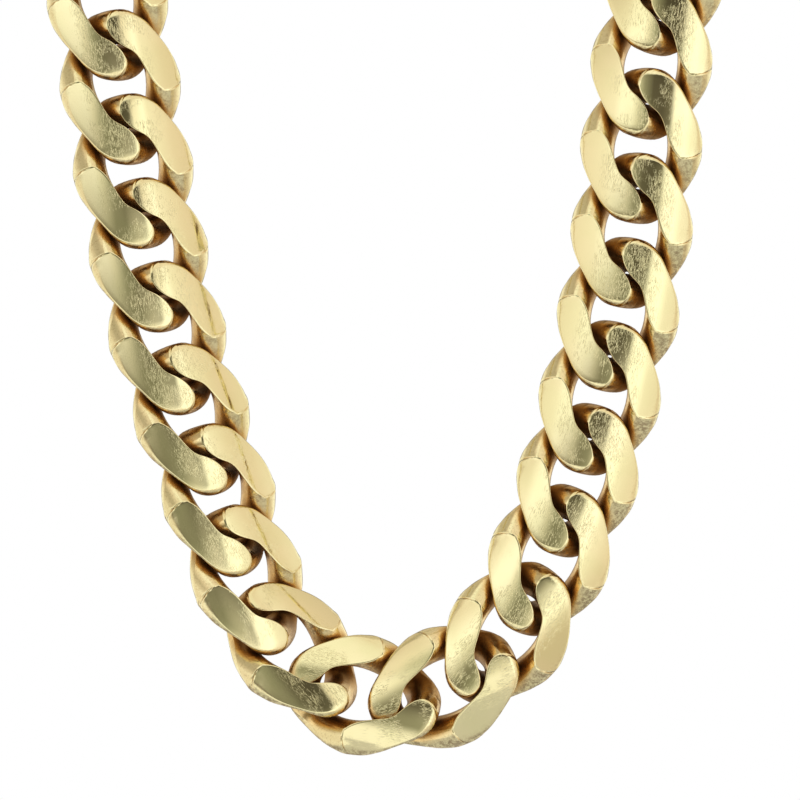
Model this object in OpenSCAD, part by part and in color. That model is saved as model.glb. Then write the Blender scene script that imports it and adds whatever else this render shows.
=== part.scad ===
// Curb chain necklace: twisted oval links, filed flat in front and behind, in one closed loop with a plain
// clasp behind the neck. Millimetres, +Z up, the front faces -Y. The origin is the middle of the clasp,
// where the necklace hangs at the nape.

/* [Chain] */
// Number of links, not counting the clasp
link_count = 56; // [44:2:72]
// Gap left between two links where they hook into each other
link_play = 0.5; // [0.3:0.02:0.6]

/* [Link] */
// Length of a link over all
link_len = 19.1; // [18:0.1:21]
// Width of a link over all
link_w = 14.9; // [14.2:0.1:16]
// Thickness of a link between its two filed faces
link_t = 4.45; // [4.2:0.05:4.7]
// Diameter of the wire where two links hook together
end_wire = 4.1; // [3.6:0.05:4.3]
// Diameter of the wire at the sides of a link
side_wire = 4.25; // [3.6:0.05:4.5]
// How far the wire's middle rises to one face and dips to the other as the ring twists
twist_rise = 2.6; // [2.4:0.02:2.7]

/* [Clasp] */
// Distance between the two places where the end links hook into the clasp
clasp_span = 30; // [26:1:40]
// Gap between the clasp's body and the tips of the end links
clasp_play = 0.8; // [0.5:0.1:1.5]
// Width of the clasp's body
clasp_w = 15.5; // [14:0.5:18]
// Thickness of the clasp's body
clasp_t = 5.2; // [4.9:0.1:7]
// Bevel along the edges of the clasp's body
clasp_bevel = 0.8; // [0.3:0.1:1]

/* [Hidden] */
GOLD = [0.87, 0.76, 0.5];

// Stations along a link's wire, and sides of the wire
STATIONS = 16;
SIDES = 6;

// Half sizes of a link's middle line, and the spacing of two links that hook together
half_len = (link_len - end_wire) / 2;
half_w = (link_w - side_wire) / 2;
pitch = link_len - 2 * end_wire - link_play;

// The route of the chain's middle line, from the nape down the left strand, through the lowest point and up
// the right strand to the nape again. Its columns are x across, y back from the front, z up from the lowest
// point, turn of the flat face about the vertical (0 looks to the front) and its lean upwards, in degrees,
// and the step by which the next link hangs behind the one before it.
ROUTE = [
    [  0.0, 114.0, 191.0, -180, 72, 0.0],
    [-28.0, 110.0, 189.0, -140, 71, 0.0],
    [-49.5,  94.0, 183.0, -103, 68, 0.0],
    [-61.0,  73.0, 175.0,  -72, 64, 0.0],
    [-62.0,  51.0, 165.0,  -46, 57, 0.0],
    [-56.5,  31.0, 151.0,  -24, 46, 0.0],
    [-48.0,  16.0, 133.0,   -8, 33, 0.0],
    [-40.0,   7.0, 114.0,    2, 20, 0.0],
    [-35.5,   3.0,  96.0,    8,  9, 0.0],
    [-32.5,   1.5,  78.0,   11,  3, 0.0],
    [-29.5,   1.0,  59.0,   14,  3, 0.0],
    [-25.0,   0.5,  39.5,   20,  6, 0.0],
    [-21.5,   0.5,  30.0,   23,  7, 0.0],
    [-18.5,   0.5,  20.0,   26, 10, 0.1],
    [-14.5,   0.8,  10.5,   27, 16, 0.2],
    [ -7.5,   0.3,   2.5,   12, 18, 0.8],
    [  2.5,   0.0,   0.0,   -1,  5, 0.6],
    [ 12.0,   0.3,   4.5,    3, -4, 0.3],
    [ 18.0,   0.2,  13.0,    5, -3, 0.1],
    [ 22.0,   0.3,  22.5,    2, -1, 0.0],
    [ 25.0,   0.5,  32.5,    0,  0, 0.0],
    [ 29.5,   0.5,  53.0,   -4,  1, 0.0],
    [ 32.0,   1.0,  75.0,   -8,  3, 0.0],
    [ 35.5,   3.0,  96.0,   -8,  9, 0.0],
    [ 40.0,   7.0, 114.0,   -2, 20, 0.0],
    [ 48.0,  16.0, 133.0,    8, 33, 0.0],
    [ 56.5,  31.0, 151.0,   24, 46, 0.0],
    [ 62.0,  51.0, 165.0,   46, 57, 0.0],
    [ 61.0,  73.0, 175.0,   72, 64, 0.0],
    [ 49.5,  94.0, 183.0,  103, 68, 0.0],
    [ 28.0, 110.0, 189.0,  140, 71, 0.0],
    [  0.0, 114.0, 191.0,  180, 72, 0.0]
];
// Steps between two points of the route
STEPS = 12;

// A smooth closed curve through the points of the route, along which the face turns round once
ROUND = [0, 0, 0, 360, 0, 0];
route_end = len(ROUTE) - 1;
function row(i) =
    i < 0 ? ROUTE[route_end + i] - ROUND
    : i > route_end ? ROUTE[i - route_end] + ROUND
    : ROUTE[i];
function blend(a, b, c, d, t) =
    (2 * b + (c - a) * t + (2 * a - 5 * b + 4 * c - d) * t * t + (3 * b - a - 3 * c + d) * t * t * t) / 2;
FINE = [
    for (i = [0 : route_end - 1], j = [0 : STEPS - 1])
        blend(row(i - 1), row(i), row(i + 1), row(i + 2), j / STEPS),
    ROUTE[route_end]
];
fine_end = len(FINE) - 1;
function place(r) = [r[0], r[1], r[2]];
function gap(a, b) = norm(place(a) - place(b));
function run(i, n) = i >= n ? 0 : gap(FINE[i], FINE[i + 1]) + run(i + 1, n);
route_len = run(0, fine_end);

// The next hook, one pitch further along the route in either direction
function crossing(a, b, p, reach) =
    let (d = place(b) - place(a), e = place(a) - place(p), f = d * e)
    a + (b - a) * (sqrt(f * f - d * d * (e * e - reach * reach)) - f) / (d * d);
function next_hook(i, dir, p, reach) =
    gap(FINE[i + dir], p) < reach
    ? next_hook(i + dir, dir, p, reach)
    : [i, crossing(FINE[i], FINE[i + dir], p, reach)];
function hooks(n, i, dir, p, reach) =
    n == 0 ? [p]
    : let (hook = next_hook(i, dir, p, reach)) concat([p], hooks(n - 1, hook[0], dir, hook[1], reach));

// The hooks of either half, counted from the lowest point of the route
half_count = link_count / 2;
first_i = search(0, ROUTE, 1, 2)[0] * STEPS;
function side_hooks(dir, size) = hooks(half_count, first_i, dir, FINE[first_i], pitch / size);

// The loop is as large as its links and clasp make it: its size is found so that the clasp just fits
function misfit(size) =
    size * gap(side_hooks(-1, size)[half_count], side_hooks(1, size)[half_count]) - clasp_span;
function fit(a, b, tries) =
    let (fa = misfit(a), fb = misfit(b), c = b - fb * (b - a) / (fb - fa))
    tries == 0 || abs(fb) < 0.0001 ? b : fit(b, c, tries - 1);
loop_len = link_count * pitch + clasp_span;
loop_size = fit(1.01 * loop_len / route_len, loop_len / route_len, 6);
LEFT = side_hooks(-1, loop_size);
RIGHT = side_hooks(1, loop_size);
HOOKS = [for (i = [half_count : -1 : 1]) LEFT[i], each RIGHT];

// The origin is half way between the clasp's two hooks
nape = (place(LEFT[half_count]) + place(RIGHT[half_count])) / 2;
function spot(r) = loop_size * (place(r) - nape);

// A frame between two hooks: its middle, its sideways, lengthways and face directions
function unit(v) = v / norm(v);
function facing(r) = [sin(r[3]) * cos(r[4]), -cos(r[3]) * cos(r[4]), sin(r[4])];
// Where a hook holds the link above it (side 1) and the link below it (side -1)
function stepped(r, side) = spot(r) + side * loop_size * r[5] / 2 * facing(r);
function frame(a, b) =
    let (start = stepped(a, -1), end = stepped(b, 1),
         along = unit(end - start), look = facing(a) + facing(b),
         face = unit(look - (look * along) * along))
    [(start + end) / 2, cross(along, face), along, face];
function put(f, p) = f[0] + p[0] * f[1] + p[1] * f[2] + p[2] * f[3];

// One link about its own middle: the wire follows an oval that twists twice to each face, and what stands
// beyond the filed faces is flattened
function middle_line(t) = [half_w * sin(t), half_len * cos(t), twist_rise * sin(2 * t)];
function wire(t) = (end_wire + (side_wire - end_wire) * pow(sin(t), 2)) / 2;
function filed(p) = [p[0], p[1], max(-link_t / 2, min(link_t / 2, p[2]))];
function ring(t) =
    let (d = unit([half_w * cos(t), -half_len * sin(t), 2 * twist_rise * cos(2 * t)]),
         out = unit([-d[1], d[0], 0]), up = cross(d, out))
    [for (j = [0 : SIDES - 1]) let (s = 360 * j / SIDES)
        filed(middle_line(t) + wire(t) * (cos(s) * out + sin(s) * up))];
LINK = [for (i = [0 : STATIONS - 1]) each ring(360 * i / STATIONS)];
// The faces between the ring of points that starts at a and the one that starts at b
function skin(a, b) = [
    for (j = [0 : SIDES - 1])
        let (k = (j + 1) % SIDES)
        each [[a + j, b + k, a + k], [a + j, b + j, b + k]]
];
LINK_FACES = [for (i = [0 : STATIONS - 1]) each skin(i * SIDES, ((i + 1) % STATIONS) * SIDES)];

// Half of the chain, from the given hook on: each link sits between two hooks and is a closed ring of its own
function link_points(f) = [for (p = LINK) put(f, p)];
function shifted_faces(n) = [for (f = LINK_FACES) f + [n, n, n]];

module strand(first) {
    polyhedron([for (i = [first : first + half_count - 1]) each link_points(frame(HOOKS[i], HOOKS[i + 1]))],
               [for (i = [0 : half_count - 1]) each shifted_faces(i * len(LINK))], 10);
}

module chain_left() { color(GOLD) strand(0); }
module chain_right() { color(GOLD) strand(half_count); }

// The clasp's body keeps clear of the end links, whose tips reach in past their hooks
clasp_body = clasp_span - (link_len - pitch) - 2 * clasp_play;
module bevelled(x, y, z, b) {
    hull() {
        cube([x, y - 2 * b, z - 2 * b], center = true);
        cube([x - 2 * b, y, z - 2 * b], center = true);
        cube([x - 2 * b, y - 2 * b, z], center = true);
    }
}

// The end of a link, cut open one station past its sides: the open ends run into the clasp's body
eye_reach = STATIONS / 4 + 1;
eye_end = 2 * eye_reach * SIDES;
EYE_FACES = [
    for (i = [0 : 2 * eye_reach - 1]) each skin(i * SIDES, (i + 1) * SIDES),
    for (j = [1 : SIDES - 2]) each [[0, j, j + 1], [eye_end, eye_end + j + 1, eye_end + j]]
];
module eye() {
    translate([0, (clasp_span - pitch) / 2, 0])
        polyhedron([for (i = [-eye_reach : eye_reach]) each ring(360 * i / STATIONS)], EYE_FACES, 10);
}

module clasp() {
    f = frame(RIGHT[half_count], LEFT[half_count]);
    color(GOLD)
        translate(f[0])
        multmatrix([for (i = [0 : 2]) [f[1][i], f[2][i], f[3][i], 0]]) {
            bevelled(clasp_w, clasp_body, clasp_t, clasp_bevel);
            eye();
            rotate(180) eye();
        }
}

chain_left();
chain_right();
clasp();
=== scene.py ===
import math

import bpy
import numpy as np
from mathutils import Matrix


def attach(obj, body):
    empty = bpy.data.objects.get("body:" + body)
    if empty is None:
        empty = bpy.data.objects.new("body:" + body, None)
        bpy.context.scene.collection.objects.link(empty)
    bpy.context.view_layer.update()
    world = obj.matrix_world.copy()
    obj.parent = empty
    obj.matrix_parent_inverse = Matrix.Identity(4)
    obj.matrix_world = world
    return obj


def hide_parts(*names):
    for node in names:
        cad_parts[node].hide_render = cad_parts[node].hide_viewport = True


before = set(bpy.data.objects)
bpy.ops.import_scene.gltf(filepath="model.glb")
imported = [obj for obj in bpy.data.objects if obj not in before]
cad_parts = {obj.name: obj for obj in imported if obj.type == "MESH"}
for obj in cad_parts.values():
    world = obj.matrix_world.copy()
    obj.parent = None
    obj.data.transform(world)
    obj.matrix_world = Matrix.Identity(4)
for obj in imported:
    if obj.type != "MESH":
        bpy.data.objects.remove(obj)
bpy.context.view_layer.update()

MM = 0.001

# One link, in millimetres: x across, y along, z out of its face
LINK_LEN, LINK_W, LINK_T = 19.1, 14.9, 4.45
END_WIRE, SIDE_WIRE = 4.1, 4.25
TWIST_RISE = 2.6
HALF_LEN = (LINK_LEN - END_WIRE) / 2
HALF_W = (LINK_W - SIDE_WIRE) / 2

# The filed faces are slightly domed: rise over the plain thickness, and curvature across and along
FACE_LIFT, FACE_DOME, FACE_BOW = 0.125, 0.040, 0.010
# A face is whole where the file takes this share of the wire's radius off
WHOLE_CUT = 0.05
# The polish rolls off more than the cut does
POLISH_DOME, POLISH_BOW = 0.095, 0.012
# It sets in where the surface looks out of the face this much, and is full this much further on
POLISH_FROM, POLISH_RANGE = 0.65, 0.2
# The lowest link of each half is polished a little downwards
LOWEST_LEAN = 0.12

# Pressing widened the wire outwards under the faces, by up to this share
FLARE = 0.15
# The wire is thicker on its inner side where two links hook together. A higher power keeps that shorter.
HOOK_SWELL, HOOK_POWER = 0.15, 12
# Filing turned the inner edge of each face inwards near the hooks: how far, and how far down the wire that
# reaches, as a share of its radius. The scale brings the peak of the lip's curve to about 1.
LIP, LIP_DEPTH, LIP_SCALE = 0.40, 0.7, 1.6
# The three lowest links of each half lean, and have room for these shares of the swell and the lip
SNUG = (0.0, 0.1, 0.5)

# The crisp inner bevel and the soft outer roll of a face: width, and the largest share of the face it takes
INNER_EDGE, INNER_SHARE = 0.20, 0.33
OUTER_EDGE, OUTER_SHARE = 1.2, 0.42
# Both are this much wider, and their corners stay this far from the crest of the wire, so they never vanish
LEAST_EDGE = 0.03
LEAST_SPREAD = math.radians(13)
# Steps in which the file's cut and an edge's corner are found, and the least sine of that corner's angle
CUT_STEPS, CORNER_STEPS = 5, 12
LEAST_SINE = -0.98

# How finely a link is meshed: the filed faces, the rounded edges and the wire's sides
FACE_COLS, EDGE_COLS, SIDE_COLS = 7, 4, 9
# Stations round a link that shows in the photograph, and round one that doesn't
FINE_STATIONS, COARSE_STATIONS = 144, 72
# How much closer the stations stand at the ends of the faces
CROWDING = 0.6
# A link whose middle is higher than this doesn't show in the photograph
SEEN_TOP = -95 * MM
LINKS_PER_PIECE = 14
# Both halves, and what is added to the numbers of their links so that no two links wear alike
HALVES = (("chain_left", 0), ("chain_right", 50))
# Corners of a CAD mesh that are closer than this, in metres, are one corner
WELD = 1e-7
# Keeps the length of a normal above zero
TINY = 1e-9


def unit(v):
    return v / np.linalg.norm(v, axis=-1, keepdims=True)


def ease(v):
    v = np.clip(v, 0, 1)
    return v * v * (3 - 2 * v)


def bend(start, corner, end, t):
    """A point of the curve that leaves start towards corner and reaches end from there."""
    return (1 - t) ** 2 * start + 2 * t * (1 - t) * corner + t * t * end


def face_height(x, y):
    """Height of the domed file cut over the link's middle plane."""
    return LINK_T / 2 + FACE_LIFT - (FACE_DOME * x * x + FACE_BOW * y * y) / 2


class Wire:
    """A link's wire at its stations: angle round the link, middle of the wire, the directions outwards and
    upwards across it, and radius."""

    def __init__(self, stations):
        t = (np.arange(stations) * 2 * math.pi / stations)[:, None]
        t = t - CROWDING * np.sin(4 * t) / 4
        along = np.hstack([HALF_W * np.cos(t), -HALF_LEN * np.sin(t), 2 * TWIST_RISE * np.cos(2 * t)])
        along = unit(along)
        self.angle = t
        self.middle = np.hstack([HALF_W * np.sin(t), HALF_LEN * np.cos(t), TWIST_RISE * np.sin(2 * t)])
        self.out = unit(np.hstack([-along[:, 1:2], along[:, :1], 0 * t]))
        self.up = np.cross(along, self.out)
        self.radius = (END_WIRE + (SIDE_WIRE - END_WIRE) * np.sin(t) ** 2) / 2

    def point(self, a, b):
        """The points a outwards and b upwards from the middle of the wire."""
        return self.middle + a * self.out + b * self.up


def section(wire, outer_half, inner_half, side):
    """One filed face with its two rounded edges: its columns of points from the outer to the inner edge, the
    angles on the wire where the edges end, and how whole the face is. outer_half and inner_half are the
    wire's half widths, and side is 1 for the upper face and -1 for the lower."""
    radius = wire.radius

    def cut(a):
        """How high the file's cut is over the middle of the wire."""
        b = np.zeros_like(a)
        for _ in range(CUT_STEPS):
            p = wire.point(a, b)
            b = (side * face_height(p[:, :1], p[:, 1:2]) - wire.middle[:, 2:3]) / wire.up[:, 2:3]
        return side * b

    def on_face(a):
        """How high the filed wire is."""
        half = np.where(a > 0, outer_half, inner_half)
        return np.minimum(cut(a), radius * np.sqrt(np.maximum(1 - (a / half) ** 2, 0)))

    filed = np.clip(1 - cut(np.zeros_like(radius)) / radius, 0, 1)
    width = 2 * radius * np.sqrt(2 * filed - filed ** 2)

    def edge(way, half, size, share):
        """An edge's columns up to the face, the last one's place across, and the angle where the edge ends.
        way is 1 for the outer edge and -1 for the inner."""
        a = np.zeros_like(radius)
        for _ in range(CORNER_STEPS):
            corner = np.arcsin(np.clip(cut(a) / radius, LEAST_SINE, 1))
            a = (a + way * half * np.cos(corner)) / 2
        corner = np.minimum(corner, math.pi / 2 - LEAST_SPREAD)
        size = np.minimum(size, share * width) + LEAST_EDGE
        end = corner - size / radius
        across = [way * half * np.cos(end), way * half * np.cos(corner)]
        across.append(across[1] - way * size)
        high = [radius * np.sin(end), radius * np.sin(corner), on_face(across[2])]
        cols = []
        for k in range(EDGE_COLS + 1):
            t = k / EDGE_COLS
            cols.append(wire.point(bend(*across, t), side * bend(*high, t)))
        return cols, across[2], end

    outer, outer_a, outer_end = edge(1, outer_half, OUTER_EDGE, OUTER_SHARE)
    inner, inner_a, inner_end = edge(-1, inner_half, INNER_EDGE, INNER_SHARE)
    face = []
    for k in range(1, FACE_COLS):
        a = outer_a + (inner_a - outer_a) * k / FACE_COLS
        face.append(wire.point(a, side * on_face(a)))
    return outer + face + inner[::-1], outer_end, inner_end, ease(filed / WHOLE_CUT)


def grid_normals(points):
    """Outward normals of a link's grid of points, which is closed both ways."""
    along_wire = np.roll(points, -1, 0) - np.roll(points, 1, 0)
    round_wire = np.roll(points, -1, 1) - np.roll(points, 1, 1)
    normals = np.cross(along_wire, round_wire)
    if (normals * (points - points.mean(axis=1, keepdims=True))).sum() < 0:
        normals = -normals
    return unit(normals + TINY)


def grid_quads(points, normals):
    """Quads of a link's grid of points, closed both ways, with their fronts where the normals point."""
    n, m = points.shape[:2]
    i, j = np.meshgrid(np.arange(n), np.arange(m), indexing="ij")
    i2, j2 = (i + 1) % n, (j + 1) % m
    quads = np.stack([i * m + j, i2 * m + j, i2 * m + j2, i * m + j2], -1).reshape(-1, 4)
    a, b, c = (points.reshape(-1, 3)[quads[:, k]] for k in (0, 1, 2))
    if (np.cross(b - a, c - a) * normals.reshape(-1, 3)[quads[:, 0]]).sum() < 0:
        quads = quads[:, ::-1]
    return quads


def link_mesh(stations, snug, lean):
    """Points, normals, polish and quads of one link, in millimetres. snug is its share of the swell and the
    lip, and lean tips its polish across and along."""
    wire = Wire(stations)
    t = wire.angle
    outer_half = wire.radius * (1 + FLARE * np.sin(2 * t) ** 2)
    swollen = wire.radius + snug * HOOK_SWELL * np.cos(t) ** HOOK_POWER
    lip = snug * LIP * LIP_SCALE * np.abs(np.sin(2 * t)) * np.cos(t) ** 2
    top_lip, low_lip = lip * (np.sin(2 * t) > 0), lip * (np.sin(2 * t) < 0)
    top, top_out, top_in, top_whole = section(wire, outer_half, swollen + top_lip, 1)
    low, low_out, low_in, low_whole = section(wire, outer_half, swollen + low_lip, -1)

    def arc(start, end):
        """Columns of the round side between two angles, into which the lips fade."""
        cols = []
        for k in range(1, SIDE_COLS):
            s = start + (end - start) * k / SIDE_COLS
            fade = top_lip * ease(1 - (np.sin(top_in) - np.sin(s)) / LIP_DEPTH)
            fade = fade + low_lip * ease(1 - (np.sin(low_in) + np.sin(s)) / LIP_DEPTH)
            half = np.where(np.cos(s) > 0, outer_half, swollen + fade)
            cols.append(wire.point(half * np.cos(s), wire.radius * np.sin(s)))
        return cols

    inner_side = arc(math.pi - top_in, math.pi + low_in)
    outer_side = arc(2 * math.pi - low_out, 2 * math.pi + top_out)
    points = np.stack(top + inner_side + low[::-1] + outer_side, axis=1)
    normals = grid_normals(points)
    quads = grid_quads(points, normals)

    # The faces are polished to a rounder form than they are cut, which fades out over their edges
    edge = [k / EDGE_COLS for k in range(EDGE_COLS + 1)]
    across = edge + [1.0] * (FACE_COLS - 1) + edge[::-1]
    bare = [0.0] * (SIDE_COLS - 1)
    polish = np.hstack([top_whole * across, 0 * t + bare, low_whole * across, 0 * t + bare])
    polish = polish * ease((np.abs(normals[..., 2]) - POLISH_FROM) / POLISH_RANGE)
    looks = np.array([1.0] * len(across) + bare + [-1.0] * len(across) + bare)
    dome = unit(np.stack([POLISH_DOME * points[..., 0] + lean[0], POLISH_BOW * points[..., 1] + lean[1],
                          looks + 0 * points[..., 0]], -1))
    normals = unit(normals * (1 - polish[..., None]) + dome * polish[..., None])
    return {"points": points.reshape(-1, 3), "normals": normals.reshape(-1, 3), "quads": quads,
            "polish": polish.ravel()}


def label_solids(triangles, corners):
    """A number for each corner of a mesh, the same all over one closed solid."""
    label = np.arange(corners)
    while True:
        low = label[triangles].min(axis=1)
        new = label.copy()
        for k in range(3):
            np.minimum.at(new, triangles[:, k], low)
        new = new[new]
        if (new == label).all():
            return label
        label = new


def solids(obj):
    """Middle and axes of each closed solid in a CAD node, from its volume: the longest axis is y and points
    up, the thinnest is z and points to the front."""
    mesh = obj.data
    mesh.calc_loop_triangles()
    corners = np.empty(len(mesh.vertices) * 3)
    mesh.vertices.foreach_get("co", corners)
    triangles = np.empty(len(mesh.loop_triangles) * 3, int)
    mesh.loop_triangles.foreach_get("vertices", triangles)
    steps = np.round(corners.reshape(-1, 3) / WELD).astype(np.int64)
    steps, same = np.unique(steps, axis=0, return_inverse=True)
    corners = steps * WELD
    triangles = same.reshape(-1)[triangles].reshape(-1, 3)
    label = label_solids(triangles, len(corners))[triangles[:, 0]]
    found = []
    for number in np.unique(label):
        own = triangles[label == number]
        base = corners[np.unique(own)].mean(axis=0)
        a, b, c = (corners[own[:, k]] - base for k in range(3))
        # The wedges from base to the triangles give the solid's volume, middle and second moments
        volume = np.einsum("ij,ij->i", a, np.cross(b, c)) / 6
        middle = (volume[:, None] * (a + b + c) / 4).sum(axis=0) / volume.sum()
        second = sum(np.einsum("i,ij,ik->jk", volume / 20, q, q) for q in (a + b + c, a, b, c))
        axes = np.linalg.eigh(second / volume.sum() - np.outer(middle, middle))[1]
        y = axes[:, 2] * np.sign(axes[2, 2])
        z = -axes[:, 0] * np.sign(axes[1, 0])
        found.append((base + middle, np.stack([np.cross(y, z), y, z], axis=1)))
    return found


class Graph:
    """Shorthand for a material's or a world's node tree."""

    def __init__(self, tree):
        self.tree = tree
        tree.nodes.clear()

    def add(self, kind, inputs=None, **props):
        node = self.tree.nodes.new("ShaderNode" + kind)
        for k, v in props.items():
            setattr(node, k, v)
        for k, v in (inputs or {}).items():
            if isinstance(v, bpy.types.NodeSocket):
                self.tree.links.new(v, node.inputs[k])
            else:
                node.inputs[k].default_value = v
        return node

    def math(self, op, a, b=0.0, c=0.0, clamp=False):
        return self.add("Math", {0: a, 1: b, 2: c}, operation=op, use_clamp=clamp).outputs[0]

    def step(self, v, low, high, to_low=0.0, to_high=1.0):
        return self.add("MapRange", {0: v, 1: low, 2: high, 3: to_low, 4: to_high},
                        interpolation_type="SMOOTHSTEP").outputs[0]

    def mix(self, fac, a, b):
        return self.add("Mix", {0: fac, 6: a, 7: b}, data_type="RGBA").outputs[2]

    def ramp(self, fac, stops):
        node = self.add("ValToRGB", {0: fac})
        elements = node.color_ramp.elements
        elements.remove(elements[1])
        for k, (at, colour) in enumerate(stops):
            stop = elements[0] if k == 0 else elements.new(at)
            stop.position = at
            stop.color = (*colour, 1)
        return node.outputs[0]


# Two tones of polish, and the painted shade, dark brown, that hides them in the recesses
TONES = ((0.95, 0.86, 0.51, 1), (0.91, 0.84, 0.48, 1))
PAINTED_SHADE = (0.34, 0.19, 0.065, 1)
# Tints between the two: the largest share that each takes, and its colour
# A painted warm reflection of gold on gold, on walls that the links shade
PAINTED_BOUNCE = (0.8, (0.92, 0.53, 0.15, 1))
SPECKS = (0.35, (0.50, 0.36, 0.18, 1))
# Painted shade, brownish, on walls that face down
UNDER_SHADE = (0.75, (0.30, 0.21, 0.12, 1))

# Noise, with millimetres as its coordinates: scale, detail and roughness
GRAIN_NOISE, PATCH_NOISE = (3.6, 4.0, 0.75), (0.9, 4.0, 0.65)
# Noise that makes a mask, with the values between which the mask sets in
TONE_MASK = (0.18, 2.0, 0.55, 0.35, 0.65)
WORN_MASK = (0.30, 2.0, 0.55, 0.34, 0.52)
SPECK_MASK = (3.2, 4.0, 0.7, 0.50, 0.66)
UNDER_MASK = (1.8, 4.0, 0.75, 0.38, 0.58)
STROKE_MASK = (1.0, 2.0, 0.6, 0.58, 0.66)
# How far the noise moves on from link to link, in millimetres
SEED_STEP = 7.3

# Scratches run in three directions: their angle, and the mask of the patches that have them. The scale makes
# them narrow across and short along.
STROKE_SCALE = (11.0, 1.4, 1.0)
STROKE_WAYS = ((0.9, (0.16, 1.0, 0.55, 0.42, 0.52)),
               (0.25, (0.23, 1.0, 0.55, 0.42, 0.52)),
               (-0.8, (0.31, 1.0, 0.55, 0.42, 0.52)))
# Wear is full up to the first distance from a link's middle line, and this faint past the second
WORN_NEAR, WORN_FAR, WORN_LEAST = 3.4, 5.4, 0.12
# Grain on a worn face, over what there is everywhere
GRAIN_WORN, GRAIN_LEAST = 0.35, 0.05
# How polished the clasp is all over
CLASP_POLISH = 0.6

# How far links shade one another
SHADE_REACH, SHADE_SAMPLES = 5.0 * MM, 8
# How open a place is where the painted shade or the painted warm reflection sets in, and where it is full
PAINTED_SHADE_OPEN, PAINTED_BOUNCE_OPEN = (0.95, 0.50), (0.95, 0.60)
# How much more open patches make a place for the painted shade, and the share of it that a polished face
# sheds
PAINTED_SHADE_PATCHES, PAINTED_SHADE_SHED = 0.30, 0.85
# How far up a place looks where the painted shade of an underside sets in and where it is full (-1 is
# straight down), and what patches add to that
UNDER_LOOK, UNDER_PATCHES = (-0.55, -0.95), -0.5

# Roughness of the polish, and what is added to it. Specks count as this share of the painted shade.
POLISH_ROUGH, SCRATCH_ROUGH, WALL_ROUGH, UNDER_ROUGH, PAINTED_SHADE_ROUGH = 0.07, 0.05, 0.08, 0.20, 0.22
SPECKS_AS_PAINTED_SHADE = 0.4
# Depth of the finish, and how scratches, grain and the patches of the walls stand in it
FINISH_DEPTH, FINISH_STRENGTH = 0.013 * MM, 0.50
SCRATCH_RELIEF, GRAIN_RELIEF, WALL_RELIEF = -1.5, 0.8, 2.5


def surface(g, links):
    """Coordinates of the metal in millimetres, distance from a link's middle line, and polish. Links hold
    these as attributes, and other metal is polished and worn all over."""
    if not links:
        at = g.add("VectorMath", {0: g.add("TexCoord").outputs["Object"], "Scale": 1 / MM},
                   operation="SCALE").outputs[0]
        return at, 0.0, CLASP_POLISH
    local = g.add("Attribute", attribute_name="local").outputs["Vector"]
    off = g.math("ABSOLUTE", g.add("SeparateXYZ", {0: local}).outputs[0])
    seed = g.add("Attribute", attribute_name="seed").outputs["Fac"]
    shift = g.add("CombineXYZ", {2: g.math("MULTIPLY", seed, SEED_STEP)}).outputs[0]
    at = g.add("VectorMath", {0: local, 1: shift}, operation="ADD").outputs[0]
    return at, off, g.add("Attribute", attribute_name="polish").outputs["Fac"]


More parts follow.
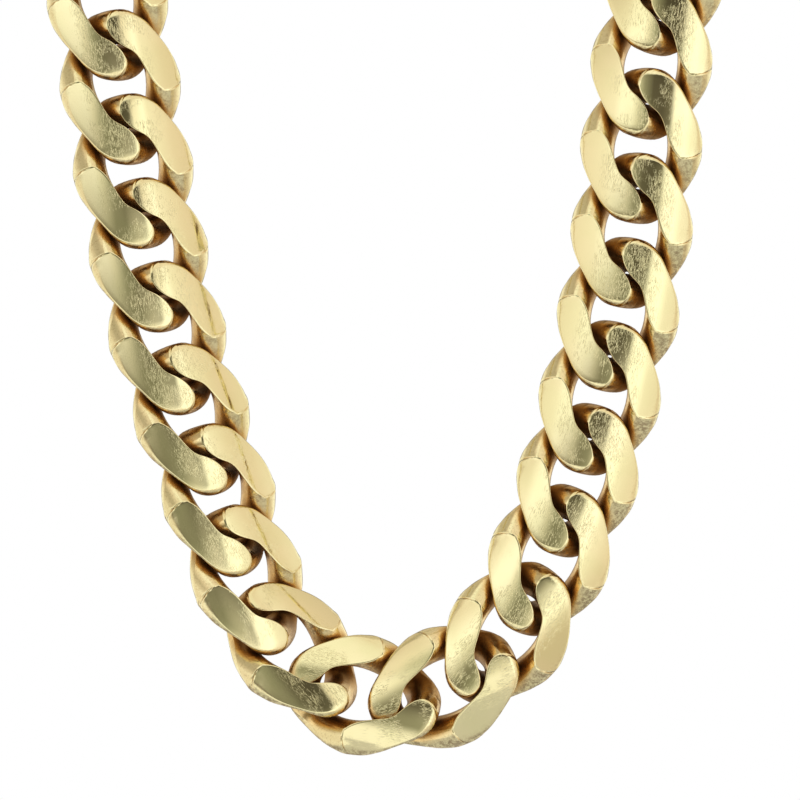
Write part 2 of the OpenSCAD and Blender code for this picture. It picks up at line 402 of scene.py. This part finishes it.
def gold_material(name, links):
    """Polished gold with fine wear on the filed faces and dull walls, and painted shade and a painted warm
    reflection where links shade one another and below.
    """
    mat = bpy.data.materials.new(name)
    mat.use_nodes = True
    g = Graph(mat.node_tree)
    at, off, polish = surface(g, links)

    def noise(scale, detail, rough, where=at):
        return g.add("TexNoise", {"Vector": where, "Scale": scale, "Detail": detail,
                                  "Roughness": rough}).outputs[0]

    def mask(scale, detail, rough, low, high, where=at):
        return g.step(noise(scale, detail, rough, where), low, high)

    # Short scratches in three directions, most of them in worn patches near the middle
    line = 0.0
    for angle, patches in STROKE_WAYS:
        turned = g.add("Mapping", {0: at, 2: (0, 0, angle), 3: STROKE_SCALE}).outputs[0]
        strokes = g.math("MULTIPLY", mask(*STROKE_MASK, turned), mask(*patches))
        line = g.math("MAXIMUM", line, strokes)
    worn = g.math("MULTIPLY", mask(*WORN_MASK), g.step(off, WORN_FAR, WORN_NEAR, WORN_LEAST, 1.0))
    scratch = g.math("MULTIPLY", line, g.math("MULTIPLY", worn, polish))
    grain = g.math("MULTIPLY", noise(*GRAIN_NOISE), g.math("MULTIPLY_ADD", worn, GRAIN_WORN, GRAIN_LEAST))

    # Painted shade, dark brown, where the links shade one another, a painted warm reflection on the walls
    # that they shade, and specks of the metal's own on their walls
    wall = g.math("SUBTRACT", 1.0, polish)
    shade = g.add("AmbientOcclusion", {"Distance": SHADE_REACH}, samples=SHADE_SAMPLES).outputs["AO"]
    patch = noise(*PATCH_NOISE)
    near = g.step(g.math("MULTIPLY_ADD", patch, PAINTED_SHADE_PATCHES, shade), *PAINTED_SHADE_OPEN)
    painted_shade = g.math("MULTIPLY", near, g.math("MULTIPLY_ADD", polish, -PAINTED_SHADE_SHED, 1.0), clamp=True)
    painted_bounce = g.math("MULTIPLY", g.step(shade, *PAINTED_BOUNCE_OPEN), wall)
    specks = g.math("MULTIPLY", mask(*SPECK_MASK), wall)

    # Walls that face down are rougher, and painted shade, brownish, is put on them
    looks_up = g.add("SeparateXYZ", {0: g.add("NewGeometry").outputs["Normal"]}).outputs[2]
    under_shade = g.step(g.math("MULTIPLY_ADD", patch, UNDER_PATCHES, looks_up), *UNDER_LOOK)
    under_shade = g.math("MULTIPLY", g.math("MULTIPLY", under_shade, wall), mask(*UNDER_MASK))

    tone = g.mix(mask(*TONE_MASK), *TONES)
    # Over the tones go the painted warm reflection, the specks and the painted shade of the undersides
    for amount, (share, colour) in ((painted_bounce, PAINTED_BOUNCE), (specks, SPECKS), (under_shade, UNDER_SHADE)):
        tone = g.mix(g.math("MULTIPLY", amount, share), tone, colour)
    # The painted shade of the recesses goes over all
    tone = g.mix(painted_shade, tone, PAINTED_SHADE)

    rough = g.math("MULTIPLY_ADD", scratch, SCRATCH_ROUGH, POLISH_ROUGH)
    rough = g.math("MULTIPLY_ADD", wall, WALL_ROUGH, g.math("MULTIPLY_ADD", under_shade, UNDER_ROUGH, rough))
    dull = g.math("MULTIPLY_ADD", specks, SPECKS_AS_PAINTED_SHADE, painted_shade)
    rough = g.math("MULTIPLY_ADD", dull, PAINTED_SHADE_ROUGH, rough, clamp=True)

    height = g.math("MULTIPLY_ADD", scratch, SCRATCH_RELIEF, g.math("MULTIPLY", grain, GRAIN_RELIEF))
    height = g.math("MULTIPLY_ADD", g.math("MULTIPLY", patch, wall), WALL_RELIEF, height)
    bump = g.add("Bump", {"Strength": FINISH_STRENGTH, "Distance": FINISH_DEPTH,
                          "Height": height}).outputs[0]
    shader = g.add("BsdfPrincipled", {"Base Color": tone, "Metallic": 1.0, "Roughness": rough,
                                      "Normal": bump})
    g.add("OutputMaterial", {0: shader.outputs[0]})
    return mat


def link_kind(place, mid, rot):
    """What link_mesh is given for the link that is at this place, counted from the lowest of its half."""
    lean = tuple(-LOWEST_LEAN * rot[2, :2]) if place == 0 else (0.0, 0.0)
    if mid[2] < SEEN_TOP:
        return FINE_STATIONS, (*SNUG, 1.0)[min(place, len(SNUG))], lean
    return COARSE_STATIONS, 0.0, lean


def links_object(name, links, first, offset, built, gold):
    """Some links of a half as one object, each where its CAD solid is. first is the place of the first one.
    Links of one kind share a form, which is kept in built."""
    parts = {k: [] for k in ("points", "normals", "quads", "local", "polish", "seed")}
    base = 0
    for place, (mid, rot) in enumerate(links, first):
        kind = link_kind(place, mid, rot)
        if kind not in built:
            built[kind] = link_mesh(*kind)
        one = built[kind]
        parts["points"].append(mid + one["points"] * MM @ rot.T)
        parts["normals"].append(one["normals"] @ rot.T)
        parts["quads"].append(one["quads"] + base)
        parts["local"].append(one["points"])
        parts["polish"].append(one["polish"])
        parts["seed"].append(np.full(len(one["points"]), float(place + offset)))
        base += len(one["points"])
    parts = {k: np.concatenate(v) for k, v in parts.items()}
    mesh = bpy.data.meshes.new(name)
    mesh.from_pydata(parts["points"].tolist(), [], parts["quads"].tolist())
    local = mesh.attributes.new("local", "FLOAT_VECTOR", "POINT")
    local.data.foreach_set("vector", parts["local"].ravel())
    for k in ("polish", "seed"):
        mesh.attributes.new(k, "FLOAT", "POINT").data.foreach_set("value", parts[k])
    mesh.polygons.foreach_set("use_smooth", np.ones(len(mesh.polygons), bool))
    mesh.normals_split_custom_set_from_vertices(parts["normals"].tolist())
    mesh.materials.append(gold)
    mesh.update()
    obj = bpy.data.objects.new(name, mesh)
    bpy.context.scene.collection.objects.link(obj)
    return obj


def dress_chain():
    """Finer links in the place of both halves of the chain, from the lowest link up."""
    gold = gold_material("gold_links", True)
    built = {}
    for node, offset in HALVES:
        links = sorted(solids(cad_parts[node]), key=lambda k: k[0][2])
        for first in range(0, len(links), LINKS_PER_PIECE):
            name = f"{node}_links_{first // LINKS_PER_PIECE + 1}"
            obj = links_object(name, links[first:first + LINKS_PER_PIECE], first, offset, built, gold)
            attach(obj, "root")
            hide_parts(node)


def dress_clasp():
    """The clasp keeps its CAD mesh."""
    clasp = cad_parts["clasp"]
    clasp.data.materials.clear()
    clasp.data.materials.append(gold_material("gold_clasp", False))


# A pale floor well below the necklace, in metres
FLOOR_Y, FLOOR_Z, FLOOR_HALF = -0.05, -0.80, 0.7
FLOOR_COLOUR, FLOOR_ROUGH = (0.84, 0.91, 1.0, 1), 0.9


def add_floor():
    corners = [(x * FLOOR_HALF, y * FLOOR_HALF + FLOOR_Y, FLOOR_Z)
               for x, y in ((-1, -1), (1, -1), (1, 1), (-1, 1))]
    mesh = bpy.data.meshes.new("floor")
    mesh.from_pydata(corners, [], [(0, 1, 2, 3)])
    floor_obj = bpy.data.objects.new("floor", mesh)
    bpy.context.scene.collection.objects.link(floor_obj)
    mat = bpy.data.materials.new("pale_floor")
    mat.use_nodes = True
    g = Graph(mat.node_tree)
    shader = g.add("BsdfPrincipled", {"Base Color": FLOOR_COLOUR, "Roughness": FLOOR_ROUGH})
    g.add("OutputMaterial", {0: shader.outputs[0]})
    mesh.materials.append(mat)


# Soft light all round, dark where the photographer stands and darker behind the necklace than beside it. A
# row gives the bearing of the light (0 is the photographer, 90 the right, 180 behind) and its strength at
# each of the heights. Bearings and heights are in degrees.
HEIGHTS = (-31, -17, 10, 24, 38)
AROUND = [(-180, 0.70, 0.40, 0.36, 0.32, 0.60), (-160, 0.72, 0.46, 0.42, 0.38, 0.60),
          (-146, 0.74, 1.00, 1.02, 0.90, 0.60), (-128, 0.78, 0.92, 0.94, 0.84, 0.55),
          (-90, 0.85, 0.82, 0.80, 0.62, 0.50),
          (-66, 0.92, 0.80, 0.88, 0.62, 0.45), (-52, 0.95, 0.62, 0.94, 0.70, 0.50),
          (-44, 0.95, 0.38, 1.08, 0.85, 0.70), (-29, 0.98, 0.18, 1.10, 0.85, 0.85),
          (-22, 0.98, 0.18, 0.88, 0.56, 0.92), (-12, 0.98, 0.18, 0.33, 0.24, 0.96),
          (0, 0.98, 0.30, 0.12, 0.08, 0.96), (14, 0.98, 0.84, 0.10, 0.06, 0.92),
          (24, 0.92, 1.00, 0.16, 0.08, 0.85), (29, 0.80, 1.15, 1.12, 0.85, 0.80),
          (43, 0.68, 1.22, 1.25, 1.10, 0.85), (51, 0.62, 0.92, 0.96, 0.92, 0.85),
          (75, 0.60, 0.78, 0.80, 0.80, 0.78), (90, 0.62, 0.72, 0.76, 0.76, 0.76),
          (128, 0.66, 0.90, 0.94, 0.86, 0.65), (146, 0.68, 1.04, 1.06, 0.94, 0.60),
          (160, 0.70, 0.46, 0.42, 0.38, 0.60), (180, 0.70, 0.40, 0.36, 0.32, 0.60)]
# The tint of a strength: the sides are warm, the front is a little green and the brightest places white
SIDE_TINTS = ((0.0, (1.0, 0.84, 0.62)), (0.5, (1.0, 0.88, 0.72)), (0.76, (1.0, 0.86, 0.73)),
              (0.90, (1.0, 0.95, 0.86)), (1.05, (1.0, 1.0, 0.97)))
FRONT_TINTS = ((0.0, (1.0, 0.86, 0.66)), (0.20, (1.0, 0.95, 0.72)), (0.35, (0.97, 1.0, 0.78)),
               (0.80, (1.0, 0.96, 0.83)), (1.05, (1.0, 1.0, 0.97)))
# Bearings nearer to 0 than this have the front's tint
FRONT = 28
# The strength that is 1 in a colour ramp, and the brightness of a strength of 1
RAMP_TOP, BRIGHTNESS = 2, 1.09


def light(bearing, strength):
    """The ramp's colour for a bearing and a strength."""
    tints = FRONT_TINTS if abs(bearing) < FRONT else SIDE_TINTS
    for (s0, c0), (s1, c1) in zip(tints, tints[1:]):
        if strength <= s1:
            break
    t = min(1, (strength - s0) / (s1 - s0))
    return tuple(strength / RAMP_TOP * (p + (q - p) * t) for p, q in zip(c0, c1))


def add_studio():
    """The world lights the necklace from all round, and the camera sees plain white behind it."""
    world = bpy.data.worlds.new("studio")
    bpy.context.scene.world = world
    world.use_nodes = True
    g = Graph(world.node_tree)
    way = g.add("SeparateXYZ", {0: g.add("TexCoord").outputs["Generated"]}).outputs
    bearing = g.math("ARCTAN2", way[0], g.math("MULTIPLY", way[1], -1.0))
    share = g.math("MULTIPLY_ADD", bearing, 0.5 / math.pi, 0.5)
    levels = [math.sin(math.radians(h)) for h in HEIGHTS]
    rings = []
    for k in range(1, len(HEIGHTS) + 1):
        rings.append(g.ramp(share, [(row[0] / 360 + 0.5, light(row[0], row[k])) for row in AROUND]))
    soft = rings[0]
    for low, high, ring in zip(levels, levels[1:], rings[1:]):
        soft = g.mix(g.step(way[2], low, high), soft, ring)
    lit = g.add("Background", {0: soft, 1: RAMP_TOP * BRIGHTNESS}).outputs[0]
    white = g.add("Background", {0: (1, 1, 1, 1), 1: 1.0}).outputs[0]
    seen = g.add("LightPath").outputs["Is Camera Ray"]
    g.add("OutputWorld", {0: g.add("MixShader", {0: seen, 1: lit, 2: white}).outputs[0]})
    bpy.context.scene.view_settings.view_transform = "Standard"


# The camera looks straight at the front, framed as the photograph is: its width in pixels, the size of a
# pixel in the plane of the lowest links, the middle of the picture in that plane, and the distance to it
PICTURE, PIXEL = 800, 0.1218 * MM
CENTRE_X, FRONT_Y, CENTRE_Z = 3.51 * MM, -113.3 * MM, -153.85 * MM
DISTANCE, SENSOR = 0.75, 36


def add_camera():
    cam = bpy.data.cameras.new("camera")
    cam_obj = bpy.data.objects.new("camera", cam)
    bpy.context.scene.collection.objects.link(cam_obj)
    cam.sensor_width = SENSOR
    cam.lens = SENSOR * DISTANCE / (PICTURE * PIXEL)
    cam.clip_start, cam.clip_end = 0.01, 20
    cam_obj.location = (CENTRE_X, FRONT_Y - DISTANCE, CENTRE_Z)
    cam_obj.rotation_euler = (math.pi / 2, 0, 0)
    bpy.context.scene.camera = cam_obj


dress_chain()
dress_clasp()
add_floor()
add_studio()
add_camera()
